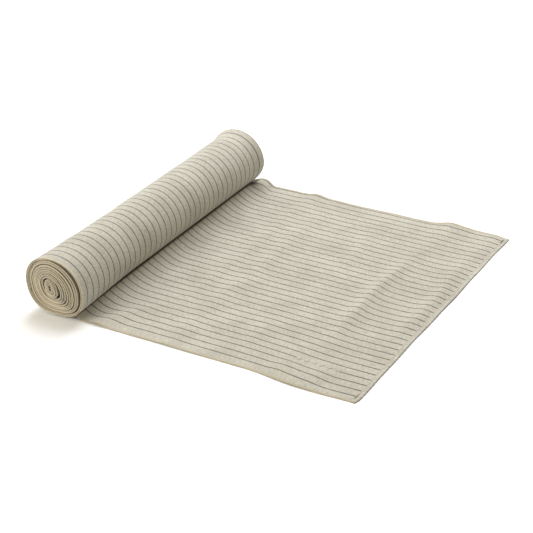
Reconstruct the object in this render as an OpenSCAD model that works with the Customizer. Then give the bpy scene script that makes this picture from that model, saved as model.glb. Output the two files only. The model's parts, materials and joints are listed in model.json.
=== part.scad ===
// Baby wrap sling: one long hemmed length of striped stretch cloth, most of it wound
// into a roll, with its free end laid out flat.
// +X runs from the roll to the free end, +Y across the cloth, +Z up.
// The origin is at the centre of the object's footprint, on the surface it lies on.

/* [Cloth] */
// Width of the cloth from edge to edge, its overlocked edges included
cloth_w = 550; // [450:5:620]
// Thickness of the knitted cloth
cloth_t = 1.0; // [0.8:0.1:1.1]
// Width of the thread overlocked along each long edge
edge_w = 4; // [3:0.5:6]
// Height of that thread where the cloth lies flat
edge_t = 1.4; // [1.2:0.1:1.8]
// Distance from the roll's axis to the turned edge of the free end
spread_len = 520; // [500:10:700]

/* [Roll] */
// Radius of the outermost turn, at the middle of the cloth
roll_r = 49.5; // [48:0.5:56]
// Radius of the innermost turn, at the middle of the cloth
core_r = 6; // [6:0.5:9]
// Number of turns on the roll
turns = 27; // [18:1:28]
// How far the roll has slipped past the near edge of the laid cloth
near_slip = 6; // [0:1:12]
// How far the roll stops short of the far edge of the laid cloth
far_inset = 10; // [0:1:15]
// Thickness of the overlocked thread between the turns
rolled_edge_t = 1.3; // [1.1:0.05:1.3]

/* [Rise] */
// Radius of the hollow curve in which the cloth rises from the floor to the roll
rise_r = 57; // [50:1:65]
// Angle of that curve, from the floor up to the roll
rise_angle = 36; // [25:1:36]
// Distance from the roll's axis to the foot of the rise
rise_foot = 68; // [67:1:75]

/* [Free end] */
// Distance from the roll's axis to the line where the free end turns back
fold_x = 482; // [480:1:486]
// Width of the hem
hem_w = 8; // [6:1:14]
// Distance between stitches
stitch_pitch = 5; // [4:0.5:10]
// Length of one stitch
stitch_len = 3.5; // [2:0.5:3.5]
// Thickness of the sewing thread
thread_t = 0.4; // [0.3:0.1:0.6]
// Length of the reinforcing tack at each corner of the hem
tack_len = 10; // [6:1:14]

/* [Embroidery] */
// Number of lozenges in the row
lozenges = 6; // [3:1:6]
// Distance between lozenges
lozenge_pitch = 13; // [12:0.5:13]
// Size of a lozenge along and across the cloth
lozenge_size = [10, 8]; // [6:1:12]
// Height of the satin stitch above the cloth
satin_t = 0.5; // [0.3:0.1:0.8]
// Distance from the roll's axis to the first lozenge
motif_x = 394; // [392:1:398]
// Distance from the near edge to the middle of the row
motif_y = 63; // [20:1:200]

/* [Care label] */
// Width of the label along the roll
label_w = 30; // [20:1:50]
// Thickness of the label
label_t = 0.3; // [0.2:0.1:0.5]
// Distance from the near end of the roll to the label
label_inset = 24; // [10:1:100]

/* [Hidden] */

// Room left between pieces that move past each other, and between layers sewn together
gap = 0.3;
touch = 0.05;
// The spiral has a corner every step degrees and ends under the roll
step = 15;
end_angle = 270;
start_angle = end_angle - 360 * turns;
turn_pitch = (roll_r - core_r) / turns;
function spiral_r(a) = roll_r - turn_pitch * (end_angle - a) / 360;

// Places along X, in the frame of the footprint's centre
left_r = spiral_r(180) + rolled_edge_t / 2;
axis_x = -(spread_len - left_r) / 2;
end_x = axis_x + spread_len;
hem_x = end_x - hem_w;
under_x = axis_x - 12;
full_turn = 2 * PI * (roll_r + cloth_t);
split_x = axis_x + full_turn + 18;
turn_back_x = axis_x + fold_x;

// Places along Y
near_y = -(cloth_w + near_slip) / 2 + near_slip;
far_y = near_y + cloth_w;
roll_near_y = near_y - near_slip;
roll_far_y = far_y - far_inset;

// Places along Z
roll_z = edge_t + gap + roll_r + rolled_edge_t / 2;
rise_z = edge_t + gap + cloth_t / 2 + rise_r;
hem_z = cloth_t + touch;

// The hem and the label at the inner end of the cloth
inner_hem_angle = 90;
label_start = start_angle + 120;
label_end = start_angle + 330;
inner_hem_gap = cloth_t + touch;
label_gap = cloth_t / 2 + label_t / 2 + touch;

cloth_colour = [0.78, 0.77, 0.71];
rolled_colour = [0.72, 0.70, 0.63];
thread_colour = [0.72, 0.66, 0.53];
stitch_colour = [0.66, 0.64, 0.57];
label_colour = [0.95, 0.94, 0.90];

// Runs an outline drawn in X and Z across the cloth, from y0 to y1
module across(y0, y1) {
    translate([0, y1, 0])
        rotate([90, 0, 0])
            linear_extrude(height = y1 - y0)
                children();
}

// A band that follows the spiral from angle a0 to a1, moved in by inset
module spiral_band(a0, a1, thickness, inset = 0) {
    outer = [for (a = [a0 : step : a1])
        (spiral_r(a) - inset + thickness / 2) * [cos(a), sin(a)]];
    inner = [for (a = [a1 : -step : a0])
        (spiral_r(a) - inset - thickness / 2) * [cos(a), sin(a)]];
    translate([axis_x, roll_z])
        polygon(concat(outer, inner));
}

// The hollow curve from the foot of the rise up to the roll
module rise_band(thickness) {
    top = -90 - rise_angle;
    below = [for (a = [top : 4 : -90]) (rise_r + thickness / 2) * [cos(a), sin(a)]];
    above = [for (a = [-90 : -4 : top]) (rise_r - thickness / 2) * [cos(a), sin(a)]];
    translate([axis_x + rise_foot, rise_z])
        polygon(concat(below, above));
}

// A flat length of cloth, and the thread along one of its edges
module flat_cloth(x0, x1) {
    translate([x0, near_y + edge_w, 0])
        cube([x1 - x0, cloth_w - 2 * edge_w, cloth_t]);
}

module flat_edge(x0, x1, y) {
    bevel = edge_t / 4;
    translate([x0, y, 0])
        rotate([90, 0, 90])
            linear_extrude(height = x1 - x0)
                polygon([
                    [0, bevel], [bevel, 0], [edge_w - bevel, 0], [edge_w, bevel],
                    [edge_w, edge_t - bevel], [edge_w - bevel, edge_t],
                    [bevel, edge_t], [0, edge_t - bevel]
                ]);
}

// A row of stitches along Y, each lying on the surface at height z
module stitch_row(x, y0, y1, z) {
    for (y = [y0 + stitch_pitch / 2 : stitch_pitch : y1 - stitch_pitch / 2])
        translate([x - thread_t, y - stitch_len / 2, z])
            cube([2 * thread_t, stitch_len, thread_t]);
}

// A row of stitches inside the core, at one angle of the spiral
module core_stitch_row(angle, inset, y0, y1) {
    translate([axis_x, 0, roll_z])
        rotate([0, -angle, 0])
            translate([spiral_r(angle) - inset, 0, 0])
                rotate([0, -90, 0])
                    stitch_row(0, y0, y1, 0);
}

module rolled_cloth() {
    color(rolled_colour)
        across(roll_near_y + edge_w, roll_far_y - edge_w)
            spiral_band(start_angle, end_angle, cloth_t);
}

module near_edge_thread_rolled() {
    color(thread_colour)
        across(roll_near_y, roll_near_y + edge_w)
            spiral_band(start_angle, end_angle, rolled_edge_t);
}

module far_edge_thread_rolled() {
    color(thread_colour)
        across(roll_far_y - edge_w, roll_far_y)
            spiral_band(start_angle, end_angle, rolled_edge_t);
}

module inner_end_hem() {
    color(cloth_colour)
        across(roll_near_y + edge_w, roll_far_y - edge_w)
            spiral_band(start_angle, start_angle + inner_hem_angle, cloth_t, inner_hem_gap);
}

module inner_hem_stitching() {
    color(stitch_colour)
        core_stitch_row(
            start_angle + inner_hem_angle - step, inner_hem_gap + cloth_t / 2 + touch,
            roll_near_y + 2 * edge_w, roll_far_y - 2 * edge_w
        );
}

module care_label() {
    y0 = roll_near_y + label_inset;
    color(label_colour)
        across(y0, y0 + label_w)
            spiral_band(label_start, label_end, label_t, label_gap);
}

module care_label_stitching() {
    y0 = roll_near_y + label_inset;
    color(stitch_colour)
        for (angle = [label_start + step, label_end - step])
            core_stitch_row(angle, label_gap + label_t / 2 + touch, y0, y0 + label_w);
}

module rising_cloth() {
    color(cloth_colour)
        across(near_y + edge_w, far_y - edge_w)
            rise_band(cloth_t);
}

module near_edge_thread_rising() {
    color(thread_colour)
        across(near_y, near_y + edge_w)
            rise_band(cloth_t);
}

module far_edge_thread_rising() {
    color(thread_colour)
        across(far_y - edge_w, far_y)
            rise_band(cloth_t);
}

module taken_up_cloth() {
    color(cloth_colour)
        flat_cloth(under_x, split_x);
}

module near_edge_thread_taken_up() {
    color(thread_colour)
        flat_edge(under_x, split_x, near_y);
}

module far_edge_thread_taken_up() {
    color(thread_colour)
        flat_edge(under_x, split_x, far_y - edge_w);
}

module laid_cloth() {
    color(cloth_colour)
        flat_cloth(split_x, turn_back_x);
}

module near_edge_thread_laid() {
    color(thread_colour)
        flat_edge(split_x, turn_back_x, near_y);
}

module far_edge_thread_laid() {
    color(thread_colour)
        flat_edge(split_x, turn_back_x, far_y - edge_w);
}

module embroidered_motif() {
    half = lozenge_size / 2;
    color(stitch_colour)
        for (i = [0 : lozenges - 1])
            translate([axis_x + motif_x + i * lozenge_pitch, near_y + motif_y, cloth_t])
                linear_extrude(height = satin_t)
                    polygon([[-half.x, 0], [0, -half.y], [half.x, 0], [0, half.y]]);
}

module free_end_cloth() {
    color(cloth_colour)
        flat_cloth(turn_back_x + gap, end_x);
}

module near_edge_thread_free_end() {
    color(thread_colour)
        flat_edge(turn_back_x + gap, end_x, near_y);
}

module far_edge_thread_free_end() {
    color(thread_colour)
        flat_edge(turn_back_x + gap, end_x, far_y - edge_w);
}

module free_end_hem() {
    color(cloth_colour)
        translate([hem_x, near_y + edge_w + touch, hem_z])
            cube([hem_w, cloth_w - 2 * (edge_w + touch), cloth_t]);
}

module free_end_hem_stitching() {
    color(stitch_colour)
        stitch_row(
            hem_x + hem_w / 4, near_y + edge_w + tack_len, far_y - edge_w - tack_len,
            hem_z + cloth_t
        );
}

module hem_corner_tacks() {
    bar_w = 4 * thread_t;
    color(stitch_colour)
        for (y = [near_y + edge_w + 1, far_y - edge_w - 1 - bar_w])
            translate([hem_x, y, hem_z + cloth_t])
                cube([hem_w - 1, bar_w, thread_t]);
}

rolled_cloth();
near_edge_thread_rolled();
far_edge_thread_rolled();
inner_end_hem();
inner_hem_stitching();
care_label();
care_label_stitching();
rising_cloth();
near_edge_thread_rising();
far_edge_thread_rising();
taken_up_cloth();
near_edge_thread_taken_up();
far_edge_thread_taken_up();
laid_cloth();
near_edge_thread_laid();
far_edge_thread_laid();
embroidered_motif();
free_end_cloth();
near_edge_thread_free_end();
far_edge_thread_free_end();
free_end_hem();
free_end_hem_stitching();
hem_corner_tacks();
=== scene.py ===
"""Baby wrap sling: one long striped knit cloth, wound into a roll with its free end laid flat.

Lengths are in metres, in the CAD frame. On the flat cloth, `along` is the distance from the
roll's axis towards the free end and `across` the distance from the cloth's near edge.
"""

import json
import math

import bpy
import numpy as np
from mathutils import Matrix, Vector


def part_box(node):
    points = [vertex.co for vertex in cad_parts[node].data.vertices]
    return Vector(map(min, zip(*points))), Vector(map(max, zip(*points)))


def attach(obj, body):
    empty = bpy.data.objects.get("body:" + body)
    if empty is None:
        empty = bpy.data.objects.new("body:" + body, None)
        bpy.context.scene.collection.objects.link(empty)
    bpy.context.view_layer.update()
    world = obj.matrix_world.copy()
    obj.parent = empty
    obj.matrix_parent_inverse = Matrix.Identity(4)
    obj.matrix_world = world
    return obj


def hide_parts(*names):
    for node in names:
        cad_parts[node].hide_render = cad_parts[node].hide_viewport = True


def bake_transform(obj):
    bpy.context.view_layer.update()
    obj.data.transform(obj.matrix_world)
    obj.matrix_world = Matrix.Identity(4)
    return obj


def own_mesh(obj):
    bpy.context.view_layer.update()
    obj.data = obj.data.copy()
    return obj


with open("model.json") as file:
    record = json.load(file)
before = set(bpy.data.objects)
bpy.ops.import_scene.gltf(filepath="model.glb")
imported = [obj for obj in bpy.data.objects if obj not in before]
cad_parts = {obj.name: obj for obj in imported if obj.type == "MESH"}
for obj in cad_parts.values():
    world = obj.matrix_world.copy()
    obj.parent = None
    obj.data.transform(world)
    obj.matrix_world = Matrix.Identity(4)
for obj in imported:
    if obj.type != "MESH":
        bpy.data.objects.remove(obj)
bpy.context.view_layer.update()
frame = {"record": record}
joints = {j["name"]: j for j in frame["record"]["behaviour"]["joints"]}

MM = 0.001
STEP = 2 * MM  # between points on the flat cloth

# ---------------------------------------------------------------- places, from the CAD frame
AXIS_X, _, AXIS_Z = joints["roll_spin"]["pos_m"]
NEAR_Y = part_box("near_edge_thread_laid")[0][1]
FAR_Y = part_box("far_edge_thread_laid")[1][1]
WIDTH = FAR_Y - NEAR_Y
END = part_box("free_end_cloth")[1][0] - AXIS_X
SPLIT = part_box("laid_cloth")[0][0] - AXIS_X  # where the taken-up stretch ends
ROLL_NEAR_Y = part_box("near_edge_thread_rolled")[0][1]
ROLL_FAR_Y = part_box("far_edge_thread_rolled")[1][1]
MOTIF_REACH = [corner[0] - AXIS_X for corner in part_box("embroidered_motif")]

# ---------------------------------------------------------------- the cloth
WOUND_LENGTH = 4.7  # how far along the cloth the roll's axis is, in the cloth's own coordinates
PRESSED = 0.468  # the roll presses the laid cloth flat up to here, just short of the fold
CLOTH_T = 0.9 * MM
EDGE_INSET = 2.2 * MM  # from the edge thread's outside to the cloth's cut edge
STRIPE_PITCH = 14.9 * MM
STRIPE_FIRST = 14.25 * MM
STRIPE_W = 1.85 * MM
MOTIF_STRIPE = STRIPE_FIRST + 3 * STRIPE_PITCH

# ---------------------------------------------------------------- camera
AZIMUTH, ELEVATION, TILT = (math.radians(a) for a in (31.43, 28.49, -2.119))
AIM = Vector((AXIS_X + 0.2064, NEAR_Y + 0.2846, 0))
DISTANCE = 2.4499
LENS, SENSOR = 100.9, 36


def make_camera():
    back = Vector((
        math.sin(AZIMUTH) * math.cos(ELEVATION),
        -math.cos(AZIMUTH) * math.cos(ELEVATION),
        math.sin(ELEVATION),
    ))
    right = Vector((math.cos(AZIMUTH), math.sin(AZIMUTH), 0))
    up = back.cross(right)
    tilted_right = math.cos(TILT) * right + math.sin(TILT) * up
    tilted_up = math.cos(TILT) * up - math.sin(TILT) * right
    data = bpy.data.cameras.new("camera")
    data.lens = LENS
    data.sensor_width = SENSOR
    data.clip_end = 50
    camera = bpy.data.objects.new("camera", data)
    turn = Matrix((tilted_right, tilted_up, back)).transposed()
    camera.matrix_world = Matrix.Translation(AIM + back * DISTANCE) @ turn.to_4x4()
    bpy.context.collection.objects.link(camera)
    bpy.context.scene.camera = camera


make_camera()


# ---------------------------------------------------------------- small maths
def smooth(a, b, x):
    """0 before a, 1 after b, and a smooth step between them."""
    t = np.clip((x - a) / (b - a), 0, 1)
    return t * t * (3 - 2 * t)


def hill(x, centre, width):
    return np.exp(-(((x - centre) / width) ** 2))


def ripples(x, y, seed, shortest, longest, count=16):
    """A smooth field of about -1 to 1, made of waves with lengths between shortest and longest."""
    rng = np.random.default_rng(seed)
    total = 0
    for _ in range(count):
        heading = rng.uniform(0, math.tau)
        length = rng.uniform(shortest, longest)
        phase = rng.uniform(0, math.tau)
        total = total + np.cos(
            math.tau * (x * math.cos(heading) + y * math.sin(heading)) / length + phase
        )
    return total / math.sqrt(2 * count)


def unit(v):
    return v / np.maximum(np.linalg.norm(v, axis=-1, keepdims=True), 1e-12)


# ---------------------------------------------------------------- mesh building
class Shape:
    """Collects vertices, faces and a UV for each vertex, and makes one mesh object."""

    def __init__(self):
        self.verts, self.uvs, self.faces, self.flat, self.kinds = [], [], [], [], []
        self.count = 0

    def add(self, verts, uvs, faces, flat=False, kind=0):
        """faces is a list of index arrays; each array's rows are faces of one size. kind says
        which of the piece's materials they have."""
        verts = np.asarray(verts, float).reshape(-1, 3)
        self.verts.append(verts)
        self.uvs.append(np.asarray(uvs, float).reshape(-1, 2))
        for group in faces:
            group = np.asarray(group, int)
            self.faces.append(group + self.count)
            self.flat.append(np.full(len(group), flat))
            self.kinds.append(np.full(len(group), kind))
        self.count += len(verts)

    def grid(self, points, uv, thickness, kind=0):
        """A closed sheet of the given thickness round a grid of points."""
        rows, cols = points.shape[:2]
        normal = unit(np.cross(np.gradient(points, axis=0), np.gradient(points, axis=1)))
        half = np.broadcast_to(np.asarray(thickness), (rows, cols))[..., None] / 2
        top, bottom = points + normal * half, points - normal * half
        index = np.arange(rows * cols).reshape(rows, cols)
        quads = np.stack([index[:-1, :-1], index[1:, :-1], index[1:, 1:], index[:-1, 1:]], -1)
        quads = quads.reshape(-1, 4)
        under = quads[:, ::-1] + rows * cols
        ring = np.concatenate([index[:-1, 0], index[-1, :-1], index[:0:-1, -1], index[0, :0:-1]])
        verts = np.concatenate([top.reshape(-1, 3), bottom.reshape(-1, 3)])
        self.add(verts, np.concatenate([uv.reshape(-1, 2)] * 2), [quads, under], kind=kind)
        # The cut edge has its own vertices, so that it doesn't round off the faces' shading
        here = np.arange(len(ring))
        after = np.roll(here, -1)
        wall = np.stack([after, here, here + len(ring), after + len(ring)], -1)
        rim = np.concatenate([top.reshape(-1, 3)[ring], bottom.reshape(-1, 3)[ring]])
        self.add(rim, np.concatenate([uv.reshape(-1, 2)[ring]] * 2), [wall], True, kind)

    def sweep(self, centres, side, up, outline, along=None, kind=0, around=None):
        """outline, in side and up, is carried along centres. Its ends are closed with caps.
        outline is one list of points, or one list for each centre. V is around, or falls
        from 1 at the outline's first point to 0 at the one opposite."""
        outline = np.asarray(outline, float)
        if outline.ndim == 2:
            outline = np.broadcast_to(outline, (len(centres), *outline.shape))
        rings, sides = outline.shape[:2]
        verts = (
            centres[:, None]
            + outline[..., :1] * side[:, None]
            + outline[..., 1:] * up[:, None]
        )
        if along is None:
            steps = np.linalg.norm(np.diff(centres, axis=0), axis=1)
            along = np.concatenate([[0], np.cumsum(steps)])
        if around is None:
            around = np.abs(1 - 2 * np.linspace(0, 1, sides, endpoint=False))
        uv = np.stack(np.broadcast_arrays(along[:, None], around[None]), -1)
        index = np.arange(rings * sides).reshape(rings, sides)
        after = np.roll(index, -1, axis=1)
        quads = np.stack([index[:-1], after[:-1], after[1:], index[1:]], -1).reshape(-1, 4)
        self.add(verts, uv, [quads, index[:1, ::-1], index[-1:]], kind=kind)

    def tube(self, path, radius, sides=6, kind=0):
        """A round thread along path. radius is a number or one for each point."""
        path = np.asarray(path, float)
        heading = unit(np.gradient(path, axis=0))
        rough_up = np.where(np.abs(heading[:, 2:]) > 0.9, [[1.0, 0, 0]], [[0, 0, 1.0]])
        side = unit(np.cross(heading, rough_up))
        up = np.cross(side, heading)
        angle = np.linspace(0, math.tau, sides, endpoint=False)
        circle = np.stack([np.cos(angle), np.sin(angle)], -1)
        radius = np.broadcast_to(np.asarray(radius, float), (len(path),))
        self.sweep(path, side, up, circle[None] * radius[:, None, None], kind=kind)

    def make(self, name, *materials):
        verts = np.concatenate(self.verts)
        uvs = np.concatenate(self.uvs)
        sizes = np.concatenate([np.full(len(f), f.shape[1]) for f in self.faces])
        corners = np.concatenate([f.ravel() for f in self.faces])
        mesh = bpy.data.meshes.new(name)
        mesh.vertices.add(len(verts))
        mesh.vertices.foreach_set("co", verts.ravel())
        mesh.loops.add(len(corners))
        mesh.loops.foreach_set("vertex_index", corners)
        mesh.polygons.add(len(sizes))
        mesh.polygons.foreach_set("loop_start", np.concatenate([[0], np.cumsum(sizes)[:-1]]))
        mesh.polygons.foreach_set("loop_total", sizes)
        mesh.update(calc_edges=True)
        mesh.polygons.foreach_set("use_smooth", ~np.concatenate(self.flat))
        layer = mesh.uv_layers.new(name="cloth")
        layer.data.foreach_set("uv", uvs[corners].ravel())
        mesh.polygons.foreach_set("material_index", np.concatenate(self.kinds))
        for material in materials:
            mesh.materials.append(material)
        mesh.validate()
        piece = bpy.data.objects.new(name, mesh)
        bpy.context.collection.objects.link(piece)
        return piece


# ---------------------------------------------------------------- materials
class Nodes:
    """Short calls for the few nodes that the materials use."""

    def __init__(self, name):
        self.material = bpy.data.materials.new(name)
        self.material.use_nodes = True
        self.tree = self.material.node_tree
        self.shader = self.tree.nodes["Principled BSDF"]

    def new(self, kind, **settings):
        node = self.tree.nodes.new(kind)
        for key, value in settings.items():
            setattr(node, key, value)
        return node

    def link(self, value, socket):
        if isinstance(value, bpy.types.NodeSocket):
            self.tree.links.new(value, socket)
        else:
            socket.default_value = value

    def math(self, operation, a, b=0.0, c=0.0):
        node = self.new("ShaderNodeMath", operation=operation)
        for value, socket in zip((a, b, c), node.inputs):
            self.link(value, socket)
        return node.outputs[0]

    def ramp(self, value, low, high, to_low=0.0, to_high=1.0):
        node = self.new("ShaderNodeMapRange", interpolation_type="SMOOTHSTEP")
        for item, socket in zip((value, low, high, to_low, to_high), node.inputs):
            self.link(item, socket)
        return node.outputs[0]

    def mix(self, share, a, b):
        node = self.new("ShaderNodeMix", data_type="RGBA")
        self.link(share, node.inputs[0])
        self.link(a, node.inputs[6])
        self.link(b, node.inputs[7])
        return node.outputs[2]

    def millimetres(self):
        """The cloth's own coordinates in millimetres: along, then across."""
        uv = self.new("ShaderNodeUVMap", uv_map="cloth")
        scaled = self.new("ShaderNodeVectorMath", operation="SCALE")
        self.link(uv.outputs[0], scaled.inputs[0])
        scaled.inputs["Scale"].default_value = 1000
        split = self.new("ShaderNodeSeparateXYZ")
        self.link(scaled.outputs[0], split.inputs[0])
        return scaled.outputs[0], split.outputs[0], split.outputs[1]

    def stretched(self, vector, x, y):
        node = self.new("ShaderNodeVectorMath", operation="MULTIPLY")
        self.link(vector, node.inputs[0])
        node.inputs[1].default_value = (x, y, 1)
        return node.outputs[0]

    def noise(self, vector, scale, detail=2.0, roughness=0.5):
        node = self.new("ShaderNodeTexNoise")
        self.link(vector, node.inputs["Vector"])
        node.inputs["Scale"].default_value = scale
        node.inputs["Detail"].default_value = detail
        node.inputs["Roughness"].default_value = roughness
        return node.outputs[0]

    def finish(self, colour, height, distance, strength, roughness, sheen):
        bump = self.new("ShaderNodeBump")
        bump.inputs["Strength"].default_value = strength
        bump.inputs["Distance"].default_value = distance
        self.link(height, bump.inputs["Height"])
        self.link(bump.outputs[0], self.shader.inputs["Normal"])
        self.link(colour, self.shader.inputs["Base Color"])
        self.shader.inputs["Roughness"].default_value = roughness
        self.shader.inputs["Sheen Weight"].default_value = sheen
        self.shader.inputs["Sheen Roughness"].default_value = 0.5
        self.shader.inputs["Specular IOR Level"].default_value = 0.2
        return self.material


def colour(r, g, b):
    """A display colour from 0 to 255, as the shader's linear one."""
    return tuple(((c / 255 + 0.055) / 1.055) ** 2.4 for c in (r, g, b)) + (1.0,)


CLOTH_LIGHT = colour(191, 187, 173)
CLOTH_DARK = colour(162, 157, 142)
STRIPE = colour(36, 38, 42)
HEM_LIGHT = colour(198, 194, 181)
# The darker hem colour is painted shade, for the hem's outer crease and the dent of its seam.
HEM_PAINTED_SHADE = colour(92, 87, 72)
PAINTED_DEEP_SHADE = colour(52, 42, 26)  # painted shade between turns and in creases


def knit_height(n, along, across, vector):
    """The relief of a fine jersey: wales along the cloth, uneven courses across it, and fibres."""
    wale = n.math("SINE", n.math("MULTIPLY", across, math.tau / 1.25))
    course = n.math("SINE", n.math("MULTIPLY", along, math.tau / 0.95))
    loops = n.math("MULTIPLY", wale, course)
    courses = n.noise(n.stretched(vector, 0.62, 0.11), 1.0, 2.0)
    fibres = n.noise(n.stretched(vector, 1.0, 0.6), 1.4, 3.0)
    height = n.math("ADD", n.math("MULTIPLY", loops, 0.25), n.math("MULTIPLY", fibres, 0.7))
    return n.math("ADD", height, n.math("MULTIPLY", courses, 1.6))


def knit_colour(n, vector, light, dark):
    """Heather: short streaks across the cloth in slightly different greys, and a slow drift."""
    streaks = n.noise(n.stretched(vector, 0.5, 0.12), 1.0, 3.0, 0.6)
    fibres = n.noise(n.stretched(vector, 0.7, 1.0), 0.9, 3.0, 0.6)
    drift = n.noise(vector, 0.02, 2.0)
    share = n.math("ADD", n.math("MULTIPLY", streaks, 0.6), n.math("MULTIPLY", fibres, 0.3))
    share = n.math("ADD", share, n.math("MULTIPLY", drift, 0.25))
    return n.mix(n.ramp(share, 0.43, 0.73), dark, light)


def away_from_motif(n, along, across):
    """0 where the embroidery covers its stripe, 1 elsewhere."""
    start, stop = (WOUND_LENGTH + edge for edge in MOTIF_REACH)
    row = n.ramp(n.math("ABSOLUTE", n.math("SUBTRACT", across, MOTIF_STRIPE / MM)), 4.0, 5.0)
    before = n.ramp(along, start / MM, start / MM + 2.0, 1.0, 0.0)
    after = n.ramp(along, stop / MM - 2.0, stop / MM)
    return n.math("MAXIMUM", row, n.math("MAXIMUM", before, after))


def striped_knit(name, where="open"):
    """where is open, wound (painted shade away from the cut edges, inside the roll, where no light
    gets in between the turns) or rising (painted shade in the crease where the cloth meets the
    roll)."""
    n = Nodes(name)
    vector, along, across = n.millimetres()
    base = knit_colour(n, vector, CLOTH_LIGHT, CLOTH_DARK)
    wobble = n.math("SUBTRACT", n.noise(n.stretched(vector, 0.3, 0.02), 1.0, 2.0), 0.5)
    moved = n.math("ADD", across, n.math("MULTIPLY", wobble, 0.7))
    turns = n.math("DIVIDE", n.math("SUBTRACT", moved, STRIPE_FIRST / MM), STRIPE_PITCH / MM)
    offset = n.math("ABSOLUTE", n.math("SUBTRACT", turns, n.math("ROUND", turns)))
    distance = n.math("MULTIPLY", offset, STRIPE_PITCH / MM)
    line = n.ramp(distance, STRIPE_W / MM * 0.2, STRIPE_W / MM * 0.8, 1.0, 0.0)
    inside = n.math("GREATER_THAN", across, STRIPE_FIRST / MM / 2)
    dashes = n.noise(n.stretched(vector, 0.55, 0.2), 1.0, 2.0)
    near_hem = (WOUND_LENGTH + END) / MM
    fresh = n.ramp(along, near_hem - 45.0, near_hem - 5.0, 0.88, 1.05)
    strength = n.math("MULTIPLY", n.ramp(dashes, 0.3, 0.6, 0.72, 1.0), fresh)
    strength = n.math("MULTIPLY", strength, away_from_motif(n, along, across))
    share = n.math("MULTIPLY", n.math("MULTIPLY", line, inside), strength)
    tone = n.mix(share, base, STRIPE)
    if where == "rising":
        # Painted shade: the cloth darkens in the crease where it meets the roll.
        crease = n.ramp(across, 0.0, 130.0, 4.0, 0.0)
        crease = n.math("ADD", crease, n.math("SUBTRACT", along, WOUND_LENGTH / MM))
        tone = n.mix(n.ramp(crease, 33.0, 37.5, 0.9, 0.0), tone, PAINTED_DEEP_SHADE)
    if where == "wound":
        # Painted shade: the hidden turns darken away from their cut edges, where no light gets in
        # between the turns.
        depth = n.math("MINIMUM", across, n.math("SUBTRACT", WIDTH / MM, across))
        tone = n.mix(n.ramp(depth, 2.5, 6.5, 0.0, 0.93), tone, PAINTED_DEEP_SHADE)
    height = knit_height(n, along, across, vector)
    height = n.math("SUBTRACT", height, n.math("MULTIPLY", share, 0.3))
    return n.finish(tone, height, 0.35 * MM, 0.6, 0.92, 0.25)


def plain_knit():
    n = Nodes("plain_knit")
    vector, along, across = n.millimetres()
    base = knit_colour(n, vector, HEM_LIGHT, CLOTH_DARK)
    height = knit_height(n, along, across, vector)
    return n.finish(base, height, 0.35 * MM, 0.6, 0.92, 0.25)


def hem_knit():
    """The turned end, seen round its profile, with painted shade in the crease that is its outer
    edge and in the dent of its seam.
    """
    n = Nodes("hem_knit")
    vector, along, around = n.millimetres()
    base = knit_colour(n, vector, HEM_LIGHT, CLOTH_DARK)
    # Painted shade in the outer crease and in the seam's dent.
    crease = n.ramp(n.math("ABSOLUTE", n.math("SUBTRACT", around, 8.9)), 0.3, 1.3, 0.75, 0.0)
    seam = n.ramp(n.math("ABSOLUTE", n.math("SUBTRACT", around, 15.8)), 0.1, 0.6, 0.4, 0.0)
    base = n.mix(n.math("MAXIMUM", crease, seam), base, HEM_PAINTED_SHADE)
    height = knit_height(n, along, around, vector)
    return n.finish(base, height, 0.35 * MM, 0.6, 0.92, 0.25)


def twisted_thread(name, light, dark, lay, roughness=0.85, sheen=0.2, painted_shade_at_sides=False):
    """Thread seen close: strands that run slantwise round it, lay millimetres apart. pressed
    is for thread with a turn of the roll against each side of it, and paints shade on its sides."""
    n = Nodes(name)
    vector, along, around = n.millimetres()
    slant = n.math("ADD", n.math("DIVIDE", along, lay), n.math("DIVIDE", around, 1000.0))
    strand = n.math("SINE", n.math("MULTIPLY", slant, math.tau))
    fibres = n.noise(n.stretched(vector, 1.0, 0.01), 1.1, 3.0)
    shade = n.math("ADD", n.math("MULTIPLY", strand, 0.18), fibres)
    tone = n.mix(n.ramp(shade, 0.3, 0.75), dark, light)
    if painted_shade_at_sides:
        # Painted shade on the thread's sides, where the turns on either side press on it.
        tone = n.mix(n.ramp(around, 400.0, 850.0, 0.85, 0.0), tone, PAINTED_DEEP_SHADE)
    return n.finish(tone, shade, 0.2 * MM, 0.7, roughness, sheen)


MATERIALS = {
    "striped": striped_knit("striped_knit"),
    # This copy has painted shade between the turns inside the roll.
    "wound": striped_knit("striped_knit_between_turns", "wound"),
    # This copy has painted shade in the crease where the cloth meets the roll.
    "rising": striped_knit("striped_knit_rising", "rising"),
    "plain": plain_knit(),
    "hem": hem_knit(),
    # The dark tack thread is painted shade, standing in for the shade of an open hem at the far
    # corner.
    "tack": twisted_thread("tack_thread", colour(132, 122, 102), colour(84, 76, 60), 0.8),
    "edge": twisted_thread("overlock_thread", colour(198, 187, 162), colour(164, 152, 124), 1.6),
    "far_rim": twisted_thread(
        "overlock_thread_far_rim", colour(170, 156, 124), colour(138, 123, 92), 1.6
    ),
    # A lighter copy of the overlock thread, for the roll's near rim: painted light, lifting the
    # shade on its lower outer turns.
    "near_rim": twisted_thread(
        "overlock_thread_near_rim", colour(218, 209, 188), colour(190, 180, 155), 1.6
    ),
    # This thread has painted shade on its sides, between the turns.
    "wound_edge": twisted_thread(
        "overlock_thread_between_turns", colour(214, 204, 182), colour(188, 177, 151), 1.6,
        painted_shade_at_sides=True,
    ),
    "sewing": twisted_thread("sewing_thread", colour(196, 188, 166), colour(150, 141, 120), 0.8),
    "satin": twisted_thread(
        "satin_thread", colour(222, 218, 206), colour(158, 151, 134), 0.9, 0.55, 0.4
    ),
    "label": twisted_thread("woven_label", colour(240, 238, 230), colour(222, 219, 208), 0.5),
}


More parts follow.
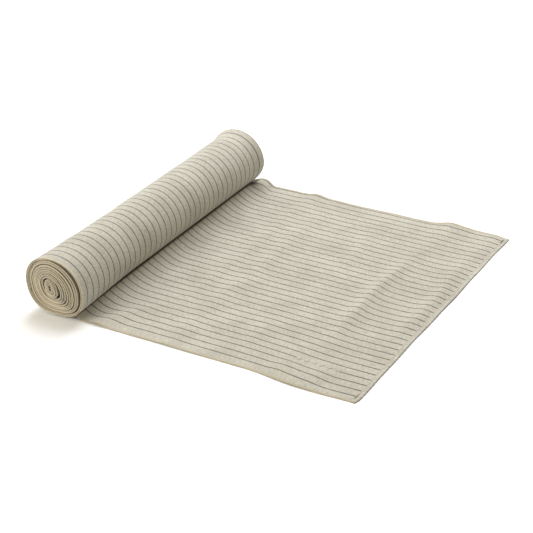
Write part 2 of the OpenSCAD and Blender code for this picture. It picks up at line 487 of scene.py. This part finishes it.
# ---------------------------------------------------------------- the flat cloth's shape
WRINKLES = (
    # along, slant, height, half width, middle across, half length (m)
    (0.150, 0.00, 1.6 * MM, 0.011, 0.32, 0.24),
    (0.196, 0.00, 2.1 * MM, 0.016, 0.27, 0.25),
    (0.302, 0.00, 0.9 * MM, 0.014, 0.11, 0.05),
    (0.316, 0.00, 1.7 * MM, 0.013, 0.40, 0.09),
    (0.405, 0.00, 5.4 * MM, 0.013, 0.285, 0.12),
    (0.493, -0.02, 4.4 * MM, 0.013, 0.32, 0.12),
)


def folds_across(along, across):
    """Long folds that run across the cloth, as it springs back from being rolled."""
    height = 0
    for place, slant, tall, width, middle, reach in WRINKLES:
        bend = place + slant * (across - middle) + 0.003 * np.sin(across * 24 + place * 40)
        body = np.cosh(np.clip((along - bend) / width, -9, 9)) ** -2
        height = height + tall * body * np.exp(-(np.abs((across - middle) / reach) ** 3))
    return height


def folds_at_edges(along, across):
    far = WIDTH - across
    ridge = hill(along, 0.068 + 0.5 * across, 0.019) * (1 - smooth(0.05, 0.12, across))
    height = 3.4 * MM * ridge
    flap = smooth(0.355, 0.39, along) * (1 - smooth(0.43, PRESSED, along))
    height = height + 4.0 * MM * flap * hill(across, 0.028, 0.024)
    height = height + 1.2 * MM * hill(across, 0.056, 0.02) * hill(along, 0.31, 0.05)
    height = height + 3.2 * MM * hill(along, 0.157, 0.017) * np.exp(-far / 0.035)
    height = height + 4.4 * MM * hill(along, 0.418, 0.028) * np.exp(-far / 0.022)
    curl = 1.0 * MM * hill(along, 0.2, 0.07) * np.exp(-across / 0.008)
    return height + curl


def flat_height(along, across):
    calm = 1 - smooth(SPLIT - 0.03, SPLIT - 0.005, along) * (1 - smooth(0.36, 0.38, along))
    fine = np.abs(ripples(along, across, 3, 0.03, 0.12)) * 0.35 * MM
    return folds_across(along, across) + folds_at_edges(along, across) + fine * calm


def sideways_pull(along, across):
    """How far the cloth is pulled across the floor from its own straight lines."""
    far = WIDTH - across
    near_edge = -8.4 * MM * smooth(0.335, 0.43, along) + 1.8 * MM * smooth(0.46, 0.51, along)
    far_edge = 4.0 * MM * (1 - smooth(0.15, 0.26, along)) + 1.5 * MM * hill(along, 0.31, 0.05)
    far_edge = far_edge + 6.5 * MM * smooth(0.385, 0.415, along)
    far_edge = far_edge - 6.5 * MM * smooth(END - 0.03, END, along)
    pull = near_edge * np.exp(-across / 0.1) + far_edge * np.exp(-far / 0.06)
    return pull + 0.5 * MM * ripples(along, across, 8, 0.08, 0.3)


def flat_cloth(along, across):
    """The middle of the laid cloth's thickness."""
    hem_wave = 0.5 * MM * np.sin(across * 23 + 0.6) + 0.4 * MM * np.sin(across * 61)
    corner = 2.0 * MM * (1 - smooth(0, 0.012, across))
    lengthways = (2.9 * MM + hem_wave - corner) * smooth(END - 0.09, END, along)
    return np.stack(
        [
            AXIS_X + along + lengthways,
            NEAR_Y + across + sideways_pull(along, across),
            CLOTH_T / 2 + flat_height(along, across),
        ],
        -1,
    )


def skew(along):
    """The stripes run slightly askew to the cut edges: how far they have moved across."""
    moved = 8.2 - 2.4 * smooth(0.1, 0.36, along) - 4.4 * smooth(0.36, 0.46, along)
    return moved * MM


def flat_grid(start, stop):
    along = np.linspace(start, stop, max(3, round((stop - start) / STEP) + 1))
    across = np.linspace(EDGE_INSET, WIDTH - EDGE_INSET, round(WIDTH / STEP) + 1)
    along, across = np.meshgrid(along, across, indexing="ij")
    return along, across


TUCK = 4 * MM  # how far a stretch reaches under the one before it
TAKEN_START = 34 * MM  # where the taken-up stretch starts at its near edge
UNDER_FOOT = 10 * MM  # how far it reaches under the rising cloth's foot
DEPTH_UNDER = 0.4 * MM


def tuck_depth(start, along):
    """A stretch starts a little under the stretch before it, so no gap opens between."""
    return DEPTH_UNDER * (1 - smooth(start, start + TUCK, along))


def ruck_foot(across):
    """How far from the roll's axis the rising cloth comes down to the floor."""
    at_near, at_far = 1 - smooth(-0.02, 0.12, across), 1 - smooth(0.003, 0.055, WIDTH - across)
    return (72 - 28 * at_near - 8 * at_far + np.sin(across * 17)) * MM


def start_at_foot(along, across):
    """The stretch that the roll takes up starts under the foot of the rising cloth."""
    start = ruck_foot(across) - UNDER_FOOT
    return SPLIT - (SPLIT - along) * (SPLIT - start) / (SPLIT - along[0])


def make_flat_cloth():
    """The stretch that the roll takes up, the laid stretch that it presses flat when it comes
    near, and the free end."""
    pieces = []
    for name, a, b in (
        ("taken_up", TAKEN_START, SPLIT),
        ("laid", SPLIT - TUCK, PRESSED),
        ("free_end", PRESSED - TUCK, END - 1.2 * MM),
    ):
        along, across = flat_grid(a, b)
        if name == "taken_up":
            along = start_at_foot(along, across)
        points = flat_cloth(along, across)
        if name != "taken_up":
            points[..., 2] -= tuck_depth(a, along)
        shape = Shape()
        shape.grid(points, np.stack([along + WOUND_LENGTH, across - skew(along)], -1), CLOTH_T)
        pieces.append(shape.make(f"{name}_knit", MATERIALS["striped"]))
    return pieces


# ---------------------------------------------------------------- the cloth rising to the roll
LEAD_START = -12 * MM  # under the roll, behind its axis
LEAD_TAIL = 7 * MM  # past the foot, where it goes down into the cloth it meets
ROLL_R = AXIS_Z - CLOTH_T - 0.6 * MM
SAG_REACH = 0.16  # how far in from its near end the roll has sagged


def roll_outline(angle, across):
    """The middle of the outermost turn, as a centre and a radius. The near end of the roll has
    sagged into a wide oval with a flattened underside."""
    near = 1 - smooth(0, SAG_REACH, across)
    half_w = ROLL_R - CLOTH_T / 2 + 5.0 * MM * near
    half_h = ROLL_R - CLOTH_T / 2 - 0.6 * MM * near
    oval = half_w * half_h / np.hypot(half_h * np.cos(angle), half_w * np.sin(angle))
    corner = np.sin(2 * angle) ** 2 * np.where(np.sin(angle) < 0, 4.0 * MM, 0.3 * MM)
    return -1.5 * MM * near, 0.9 * MM * near, oval + near * corner


def rise_profile(across, samples):
    """Points in X and Z from under the roll, up its side to the crest, and down to the floor."""
    from_near = smooth(0, 0.13, across)
    at_far = 1 - smooth(0.003, 0.055, WIDTH - across)
    crest = math.radians(46.5 - 9.5 * (1 - from_near) - 18 * at_far)
    crest = crest * (1 + 0.02 * math.sin(across * 31))
    foot = ruck_foot(across)
    phi = np.linspace(0, crest, 24) - math.pi / 2
    centre_x, centre_z, radius = roll_outline(phi, across)
    radius = radius + CLOTH_T + 0.15 * MM
    turn_x = centre_x + radius * np.cos(phi)
    turn_z = AXIS_Z + centre_z + radius * np.sin(phi)
    under = np.linspace(LEAD_START, turn_x[0], 5)[:-1]
    down_x = np.linspace(turn_x[-1], foot, 44)[1:]
    t = (down_x - turn_x[-1]) / (foot - turn_x[-1])
    tail_end = foot + LEAD_TAIL
    tail_x = np.linspace(foot, tail_end, 10)[1:]
    floor_x = np.concatenate([down_x, tail_x])
    bumps = flat_height(floor_x, np.full_like(floor_x, across))
    bumps = bumps * smooth(foot - 27 * MM, foot - 7 * MM, floor_x)
    lift = CLOTH_T * (0.86 - smooth(foot, tail_end, floor_x))
    floor_z = CLOTH_T / 2 + bumps + lift
    fall = np.concatenate([(1 - t) ** (1.6 - 0.5 * at_far), np.zeros(len(tail_x))])
    floor_z = floor_z + (turn_z[-1] - floor_z[0]) * fall
    hump = 8.4 * MM * at_far * np.sin(math.pi * t**1.3)
    floor_z[: len(t)] += hump
    x = np.concatenate([under, turn_x, floor_x])
    z = np.concatenate([np.full(4, turn_z[0]), turn_z, floor_z])
    length = np.concatenate([[0], np.cumsum(np.hypot(np.diff(x), np.diff(z)))])
    even = np.linspace(0, length[-1], samples)
    x, z = np.interp(even, length, x), np.interp(even, length, z)
    kernel = np.array([1, 4, 6, 4, 1]) / 16
    x[2:-2], z[2:-2] = np.convolve(x, kernel, "valid"), np.convolve(z, kernel, "valid")
    return x, z, even - even[-1] + tail_end


def rise_points(across, samples=80):
    rows = [rise_profile(y, samples) for y in across]
    x = np.array([r[0] for r in rows]).T
    z = np.array([r[1] for r in rows]).T
    length = np.array([r[2] for r in rows]).T
    y = np.broadcast_to(across, x.shape)
    moved = y + sideways_pull(x, y) * smooth(-0.01, 0.04, x)
    return np.stack([AXIS_X + x, NEAR_Y + moved, z], -1), length, y


def make_rise():
    across = np.linspace(EDGE_INSET, WIDTH - EDGE_INSET, round(WIDTH / STEP) + 1)
    points, length, y = rise_points(across)
    shape = Shape()
    shape.grid(points, np.stack([length + WOUND_LENGTH, y - skew(length)], -1), CLOTH_T)
    return shape.make("rising_knit", MATERIALS["rising"])


# ---------------------------------------------------------------- the roll
TURNS = 27
SHOWN_FROM = TURNS - 3.2  # the outer turns, which have all their detail
CORE_R = 3.0 * MM
PITCH = 1.30 * MM
ROUND_GAPS = (
    # turn where it opens, and its width all the way round
    (TURNS - 3.3, 0.9 * MM),
    (TURNS - 7.0, 1.0 * MM),
    (17.2, 0.3 * MM),
    (14.9, 0.4 * MM),
    (12.6, 0.5 * MM),
    (10.4, 0.5 * MM),
    (8.4, 0.7 * MM),
    (6.3, 0.7 * MM),
    (4.4, 0.6 * MM),
    (2.5, 0.6 * MM),
    (1.1, 0.4 * MM),
)
WIDE_GAPS = (
    # turn where it opens, angle of its middle, half its spread (degrees), width
    (TURNS - 1.1, 5, 75, 1.3 * MM),
    (SHOWN_FROM, 30, 96, 6.4 * MM),
    (TURNS - 6.9, 40, 110, 1.8 * MM),
    (17.2, 10, 80, 0.9 * MM),
    (14.9, -20, 70, 0.9 * MM),
    (12.6, -30, 65, 1.1 * MM),
    (10.4, 0, 70, 0.9 * MM),
    (8.5, 190, 65, 1.6 * MM),
    (6.3, -5, 84, 4.6 * MM),
    (6.3, 160, 70, 2.6 * MM),
)


def turn_angle(n):
    return -math.pi / 2 - math.tau * (TURNS - n)


def gap_window(angle, middle, spread):
    off = (np.degrees(angle) - middle + 180) % 360 - 180
    return np.cos(np.clip(off / spread, -1, 1) * math.pi / 2) ** 2


def raw_radius(n, angle):
    radius = CORE_R + PITCH * n
    for turn, width in ROUND_GAPS:
        radius = radius + width * smooth(turn - 0.2, turn + 0.2, n)
    for turn, middle, spread, width in WIDE_GAPS:
        away = (-90 - 360 * (TURNS - turn) - (middle + 180)) / 360
        opening = turn - (away - round(away))
        radius = radius + width * gap_window(angle, middle, spread) * smooth(
            opening - 0.1, opening + 0.1, n
        )
    return radius


def roll_point(n, across):
    """The middle of the rolled cloth's thickness, after n turns and at a distance across."""
    angle = turn_angle(n)
    depth = n / TURNS
    full = CORE_R + PITCH * TURNS + sum(width for _, width in ROUND_GAPS)
    for _, middle, spread, width in WIDE_GAPS:
        full = full + width * gap_window(angle, middle, spread)
    near = 1 - smooth(0, SAG_REACH, across)
    centre_x, centre_z, outline = roll_outline(angle, across)
    radius = raw_radius(n, angle) * outline / full
    tall = 0.2 * (1 - depth) ** 1.3 * np.cos(2 * (angle - math.radians(105)))
    radius = radius * (1 + tall * smooth(0, 0.15, depth + 0.05))
    slit = 1.3 * MM * (1 - smooth(0, 0.25, depth))
    radius = radius + slit * np.cos(2 * (angle - math.radians(110)))
    shell = smooth(0.8, 1, depth)
    above = smooth(-0.85, 0.1, np.sin(angle))
    flare = smooth(WIDTH - 0.036, WIDTH, across) ** 1.3
    radius = radius + 4.4 * MM * flare * above * shell**2
    radius = radius + 0.45 * MM * shell * above * ripples(angle * 0.05, across, 21, 0.04, 0.2)
    centre_x = centre_x - 11.0 * MM * near * (1 - depth) ** 1.1
    centre_z = centre_z - 7.0 * MM * near * (1 - depth) ** 1.1
    stretch = (ROLL_FAR_Y - ROLL_NEAR_Y) / WIDTH
    slip = end_slip(n, angle) * (1 - smooth(0, 0.05, across))
    slip = slip - end_slip(n + 5.3, angle) * smooth(WIDTH - 0.05, WIDTH, across)
    y = ROLL_NEAR_Y + across * stretch + slip
    y = y + 0.8 * MM * shell * ripples(angle * 0.05, across, 5, 0.1, 0.3)
    return np.stack(
        [
            AXIS_X + centre_x + radius * np.cos(angle),
            np.broadcast_to(y, np.shape(radius + y)),
            AXIS_Z + centre_z + radius * np.sin(angle),
        ],
        -1,
    )


def end_slip(n, angle):
    """How far each turn's edge stands in from the end of the roll."""
    turn = n + 0.04 * np.sin(3 * angle)
    slow = 0.5 + 0.5 * np.sin(turn * 1.13 + 0.5)
    quick = 0.5 + 0.5 * np.sin(turn * 2.9)
    lip = 1.6 * MM * smooth(TURNS - 2.6, TURNS - 2.0, n)
    return 0.9 * MM * slow + 0.4 * MM * quick + 1.2 * MM - lip


TURN_STEPS = np.linspace(0, TURNS, TURNS * 60 + 1)
TURN_PATH = roll_point(TURN_STEPS, WIDTH / 2)
TURN_LENGTHS = np.cumsum(np.linalg.norm(np.diff(TURN_PATH, axis=0, prepend=TURN_PATH[:1]), axis=1))


def roll_length(n):
    """The cloth's length from its inner end to the n-th turn."""
    return np.interp(n, TURN_STEPS, TURN_LENGTHS)


def across_samples(fine):
    """Where the rolled cloth has points across it. The hidden turns have few in the middle."""
    low, high = EDGE_INSET, WIDTH - EDGE_INSET
    near = np.array([0, 2, 4, 6, 9, 13, 20, 35, 60, 100, 160]) * MM
    if fine:
        return np.linspace(low, high, 200)
    middle = np.linspace(0.25, WIDTH - 0.25, 3)
    return np.clip(np.concatenate([near, middle, WIDTH - near[::-1]]), low, high)


def make_rolled_cloth():
    """The hidden turns, of kind 1, with painted shade between the turns, and then the outer ones.
    """
    shape = Shape()
    coarse, fine = ((60, 150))
    for start, stop, per_turn, detailed in (
        (0, SHOWN_FROM, coarse, False),
        (SHOWN_FROM, TURNS, fine, True),
    ):
        n = np.linspace(start, stop, round((stop - start) * per_turn) + 1)
        n, across = np.meshgrid(n, across_samples(detailed), indexing="ij")
        uv = np.stack([roll_length(n), across], -1)
        shape.grid(roll_point(n, across), uv, CLOTH_T, kind=0 if detailed else 1)
    return shape.make("rolled_knit", MATERIALS["striped"], MATERIALS["wound"])


# ---------------------------------------------------------------- overlocked edges
def overlock(shape, edge, outward, up, half_t, loop_pitch=2.4 * MM, half_w=1.9 * MM, kind=0):
    """Thread round a cut edge: a soft bead, and a strand that loops over it. Edges of kind 1
    are inside the roll and have the bead only."""
    angle = np.linspace(0, math.tau, 10, endpoint=False)
    bead = np.stack([np.cos(angle) * half_w, np.sin(angle) * half_t * 0.86], -1)
    steps = np.linalg.norm(np.diff(edge, axis=0), axis=1)
    length = np.concatenate([[0], np.cumsum(steps)])
    shape.sweep(edge, outward, up, bead, length, kind)
    if kind:
        return
    turns = length[-1] / loop_pitch
    fine = np.linspace(0, length[-1], max(8, int(turns * 12)))
    phase = fine / loop_pitch * math.tau
    parts = [
        np.stack([np.interp(fine, length, field[:, k]) for k in range(3)], -1)
        for field in (edge, outward, up)
    ]
    centre, out, over = parts[0], unit(parts[1]), unit(parts[2])
    path = (
        centre
        + out * (np.cos(phase) * 2.0 * MM)[:, None]
        + over * (np.sin(phase) * half_t)[:, None]
    )
    shape.tube(path, 0.22 * MM, 4)


def grid_edge(points, column, inward=1):
    """A grid's border line, and its outward and upward directions."""
    line = points[:, column]
    outward = unit(points[:, column] - points[:, column + inward])
    heading = unit(np.gradient(line, axis=0))
    return line, outward, unit(np.cross(heading, outward))


def make_flat_edges():
    pieces = {}
    for stretch, a, b in (
        ("taken_up", TAKEN_START, SPLIT),
        ("laid", SPLIT, PRESSED),
        ("free_end", PRESSED, END - 1.5 * MM),
    ):
        along, across = flat_grid(a, b)
        if stretch == "taken_up":
            along = start_at_foot(along, across)
        points = flat_cloth(along, across)
        for side, column, inward in (("near", 0, 1), ("far", -1, -1)):
            shape = Shape()
            line, outward, up = grid_edge(points, column, inward)
            overlock(shape, line + np.array([0, 0, 0.25 * MM]), outward, up, 0.7 * MM)
            pieces[side, stretch] = shape.make(f"{side}_overlock_{stretch}", MATERIALS["edge"])
    points, _, _ = rise_points(np.linspace(EDGE_INSET, WIDTH - EDGE_INSET, 220), 48)
    for side, column, inward in (("near", 0, 1), ("far", -1, -1)):
        shape = Shape()
        line, outward, up = grid_edge(points, column, inward)
        overlock(shape, line + np.array([0, 0, 0.15 * MM]), outward, up, 0.65 * MM)
        pieces[side, "rising"] = shape.make(f"{side}_overlock_rising", MATERIALS["edge"])
    return pieces


def make_rolled_edges():
    pieces = {}
    per_turn = 120
    n = np.linspace(0, TURNS, TURNS * per_turn + 1)
    for side, across, inward in (
        ("near", EDGE_INSET, 6 * MM),
        ("far", WIDTH - EDGE_INSET, -6 * MM),
    ):
        line, inside = roll_point(n, across), roll_point(n, across + inward)
        outward = unit(line - inside)
        heading = unit(np.gradient(line, axis=0))
        up = unit(np.cross(outward, heading)) * (1 if side == "far" else -1)
        shape = Shape()
        shown = n > SHOWN_FROM
        inner = line[~shown], outward[~shown], up[~shown]
        overlock(shape, *inner, 0.68 * MM, half_w=1.3 * MM, kind=1)
        overlock(shape, line[shown], outward[shown], up[shown], 0.58 * MM)
        # The near rim's thread is a lighter copy, painted light; the thread between the turns has
        # painted shade on its sides.
        outer, inner = MATERIALS[f"{side}_rim"], MATERIALS["wound_edge"]
        pieces[side] = shape.make(f"{side}_overlock_rolled", outer, inner)
    return pieces


# ---------------------------------------------------------------- the free end
HEM_W = 8 * MM
SEAM = 6.2 * MM  # from the end of the cloth to the line of stitches
STITCH_PITCH = 3.2 * MM
TACK_W = 14 * MM


def hem_frame(across):
    """A line 1 mm in from the cloth's end, and the directions out of the cloth and up."""
    line = flat_cloth(np.full_like(across, END - 1.0 * MM), across)
    inner = flat_cloth(np.full_like(across, END - HEM_W), across)
    out = unit(line - inner)
    up = unit(np.cross(out, unit(np.gradient(line, axis=0))))
    return line, out, up


def pucker(across):
    """The uneven gathering of a seam, from -1 to 1."""
    return np.sin(across * math.tau / 8.5e-3 + 1.5 * np.sin(across * 60))


def make_hem():
    across = np.linspace(1.0 * MM, WIDTH - 1.0 * MM, 900)
    line, out, up = hem_frame(across)
    ripple = pucker(across)[:, None]
    # The turned end's profile in mm, out and up, dented where the seam holds it down
    top = np.array([
        [-HEM_W / MM, 0.62], [-7.4, 1.0], [-6.8, 1.02], [-6.2, 0.72], [-5.5, 1.05],
        [-4.2, 1.4], [-2.6, 1.55], [-1.0, 1.5], [0.1, 1.2], [0.35, 0.4],
    ])
    under = np.array([[0.15, -0.3], [-0.8, -0.42], [-4.0, -0.44], [-HEM_W / MM, -0.40]])
    outline = np.broadcast_to(np.concatenate([top, under]), (len(across), 14, 2)) * MM
    outline = outline.copy()
    lift = np.array([0.1, 0.2, 0.15, 0.05, 0.2, 0.25, 0.25, 0.2, 0.1, 0.05, 0, 0, 0, 0]) * MM
    outline[..., 1] += lift * ripple
    outline[..., 0] += 0.25 * MM * ripple * (np.arange(14) > 6) * (np.arange(14) < 12)
    shape = Shape()
    outline = outline[:, ::-1]
    sides = np.linalg.norm(np.diff(outline[0], axis=0, prepend=outline[0, :1]), axis=1)
    shape.sweep(line, out, up, outline, across, around=np.cumsum(sides))
    hem = shape.make("free_end_turned_hem", MATERIALS["hem"])

    seams = Shape()
    for y in np.arange(12 * MM, WIDTH - 12 * MM, STITCH_PITCH):
        spot = np.linspace(y, y + 2.5 * MM, 6)
        seam_line, seam_out, seam_up = hem_frame(spot)
        arch = np.sin(np.linspace(0, math.pi, 6))[:, None]
        path = seam_line - seam_out * SEAM + seam_up * (0.62 * MM + 0.28 * MM * arch)
        seams.tube(path, 0.24 * MM, 6)
    stitching = seams.make("free_end_hem_stitches", MATERIALS["sewing"])

    tacks = Shape()
    # The far corner's tack, of kind 1, is of dark thread: painted shade of an open hem there.
    for kind, y in enumerate((8 * MM, WIDTH - 22 * MM)):
        spot = np.arange(y, y + TACK_W, 0.5 * MM)
        line, out, up = hem_frame(spot)
        zigzag = 0.7 * MM * (-1.0) ** np.arange(len(spot))
        path = line - out * (HEM_W - 0.6 * MM + zigzag[:, None]) + up * 1.25 * MM
        tacks.tube(path, 0.28 * MM, 5, kind)
    bar_tacks = tacks.make("hem_corner_bar_tacks", MATERIALS["sewing"], MATERIALS["tack"])
    return hem, stitching, bar_tacks


def make_motif():
    """A row of satin-stitched lozenges, each a fan of parallel threads."""
    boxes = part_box("embroidered_motif")
    low, high = np.array(boxes[0]), np.array(boxes[1])
    count, half_x, half_y = 6, 4.6 * MM, 4.0 * MM
    middles = np.linspace(low[0] + 5 * MM, high[0] - 5 * MM, count) - AXIS_X
    across = (low[1] + high[1]) / 2 - NEAR_Y
    shape = Shape()
    for middle in middles:
        for shift in np.arange(-half_x + 0.35 * MM, half_x, 0.5 * MM):
            reach = half_y * (1 - abs(shift) / half_x)
            t = np.linspace(-1, 1, 7)
            along = middle + shift + 0.18 * reach * t
            path = flat_cloth(along, across + reach * t)
            path[:, 2] += CLOTH_T / 2 + 0.45 * MM * np.sqrt(np.maximum(0, 1 - t**2)) + 0.05 * MM
            shape.tube(path, 0.3 * MM, 6)
    return shape.make("embroidered_lozenges", MATERIALS["satin"])


# ---------------------------------------------------------------- inside the roll
LABEL_TURNS = (0.34, 0.9)  # the turns of the cloth between which the label lies


def inside_turn(n, across, depth):
    """A point on the inner side of the n-th turn, depth in from the middle of the cloth."""
    angle = turn_angle(n)
    inward = np.stack([-np.cos(angle), 0 * angle, -np.sin(angle)], -1)
    return roll_point(n, across) + inward * np.asarray(depth)[..., None]


def make_core_pieces():
    """The inner end's hem and its stitches, and the blank care label with its own."""
    hem = Shape()
    n, across = np.meshgrid(
        np.linspace(0, 0.24, 9), np.linspace(6 * MM, WIDTH - 6 * MM, 60), indexing="ij"
    )
    points = inside_turn(n, across, CLOTH_T + 0.05 * MM)
    hem.grid(points, np.stack([roll_length(n), across], -1), CLOTH_T)

    seam = Shape()
    t = np.linspace(0, 1, 5)
    arch = 0.2 * MM * np.sin(t * math.pi)
    for y in np.arange(10 * MM, WIDTH - 12 * MM, STITCH_PITCH):
        seam.tube(inside_turn(np.full(5, 0.2), y + 2.4 * MM * t, 1.5 * CLOTH_T + arch), 0.2 * MM, 5)

    label_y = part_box("care_label")[0][1] - ROLL_NEAR_Y
    label_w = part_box("care_label")[1][1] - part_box("care_label")[0][1]
    label = Shape()
    n, across = np.meshgrid(
        np.linspace(*LABEL_TURNS, 24), np.linspace(label_y, label_y + label_w, 12), indexing="ij"
    )
    points = inside_turn(n, across, CLOTH_T / 2 + 0.25 * MM)
    label.grid(points, np.stack([roll_length(n), across], -1), 0.3 * MM)

    label_seam = Shape()
    for turn in (0.37, 0.87):
        for y in np.arange(label_y + 1 * MM, label_y + label_w - 2 * MM, 2.6 * MM):
            depth = CLOTH_T / 2 + 0.45 * MM + arch
            label_seam.tube(inside_turn(np.full(5, turn), y + 1.9 * MM * t, depth), 0.15 * MM, 5)
    return (
        hem.make("inner_end_turned_hem", MATERIALS["plain"]),
        seam.make("inner_hem_stitches", MATERIALS["sewing"]),
        label.make("blank_care_label", MATERIALS["label"]),
        label_seam.make("care_label_stitches", MATERIALS["sewing"]),
    )


def place(piece, body, slot, *nodes):
    """A piece with no body, of the free end that folds on the real cloth, is given no parent."""
    if body:
        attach(piece, body)
    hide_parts(*nodes)


def shrink_with_roll(piece):
    """The roll takes this stretch up. The piece only gets its own copy of its mesh."""
    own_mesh(piece)


def press_flat(piece):
    """The roll presses the laid cloth's wrinkles flat as it comes near. The piece only gets its own
    copy of its mesh.
    """
    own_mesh(piece)


def drift_askew(piece):
    """The stripes run slightly askew, so the roll drifts a few millimetres towards the near
    side as it rolls on, and narrows by 1 mm. The piece only gets its own copy of its mesh."""
    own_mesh(piece)


def bend_at_fold(piece):
    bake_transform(piece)


taken_up, laid, free_end = make_flat_cloth()
rising = make_rise()
rolled = make_rolled_cloth()
edges = make_flat_edges()
rolled_edges = make_rolled_edges()
hem, hem_stitches, tacks = make_hem()
motif = make_motif()
inner_hem, inner_stitches, label, label_stitches = make_core_pieces()

place(taken_up, "spread", "cloth", "taken_up_cloth")
shrink_with_roll(taken_up)
place(laid, "spread", "cloth", "laid_cloth")
press_flat(laid)
place(free_end, None, "cloth", "free_end_cloth")
bend_at_fold(free_end)
place(rising, "lead", "cloth", "rising_cloth")
place(rolled, "roll", "cloth", "rolled_cloth")
for side in ("near", "far"):
    place(edges[side, "taken_up"], "spread", "edge_thread", f"{side}_edge_thread_taken_up")
    shrink_with_roll(edges[side, "taken_up"])
    place(edges[side, "laid"], "spread", "edge_thread", f"{side}_edge_thread_laid")
    press_flat(edges[side, "laid"])
    place(edges[side, "free_end"], None, "edge_thread", f"{side}_edge_thread_free_end")
    bend_at_fold(edges[side, "free_end"])
    place(edges[side, "rising"], "lead", "edge_thread", f"{side}_edge_thread_rising")
    place(rolled_edges[side], "roll", "edge_thread", f"{side}_edge_thread_rolled")
place(hem, "free_end", "cloth", "free_end_hem")
place(hem_stitches, "free_end", "sewing_thread", "free_end_hem_stitching")
place(tacks, "free_end", "sewing_thread", "hem_corner_tacks")
place(motif, "spread", "embroidery", "embroidered_motif")
press_flat(motif)
place(inner_hem, "roll", "cloth", "inner_end_hem")
place(inner_stitches, "roll", "sewing_thread", "inner_hem_stitching")
place(label, "roll", "label", "care_label")
place(label_stitches, "roll", "sewing_thread", "care_label_stitching")
for piece in (
    rising, edges["near", "rising"], edges["far", "rising"],
    rolled, rolled_edges["near"], rolled_edges["far"],
    inner_hem, inner_stitches, label, label_stitches,
):
    drift_askew(piece)


# ---------------------------------------------------------------- floor and light
FLOOR_COLOUR = (0.95, 0.95, 0.95, 1)
FLOOR_REACH = 8
SKY_COLOUR = (1, 0.95, 0.82, 1)
SKY_STRENGTH = 0.48


def make_floor():
    n = Nodes("floor")
    n.shader.inputs["Base Color"].default_value = FLOOR_COLOUR
    n.shader.inputs["Roughness"].default_value = 0.9
    shape = Shape()
    corners = np.array([[-1, -1, 0], [1, -1, 0], [1, 1, 0], [-1, 1, 0]]) * FLOOR_REACH
    shape.add(corners, corners[:, :2], [np.array([[0, 1, 2, 3]])])
    floor = shape.make("floor", n.material)


def add_light(name, place_at, size, power, tint):
    data = bpy.data.lights.new(name, "AREA")
    data.size = size
    data.energy = power
    data.color = tint
    light = bpy.data.objects.new(name, data)
    light.location = place_at
    light.rotation_euler = (-Vector(place_at)).to_track_quat("-Z", "Y").to_euler()
    bpy.context.collection.objects.link(light)


def make_world():
    world = bpy.data.worlds.new("studio")
    world.use_nodes = True
    world.node_tree.nodes["Background"].inputs[0].default_value = SKY_COLOUR
    world.node_tree.nodes["Background"].inputs[1].default_value = SKY_STRENGTH
    bpy.context.scene.world = world


make_floor()
add_light("key", (-0.4, 0.95, 1.8), 1.7, 53, (0.965, 0.985, 1.05))
add_light("fill", (-1.5, -2.0, 0.9), 1.8, 40, (1, 0.96, 0.9))
make_world()
bpy.context.scene.view_settings.view_transform = "Standard"
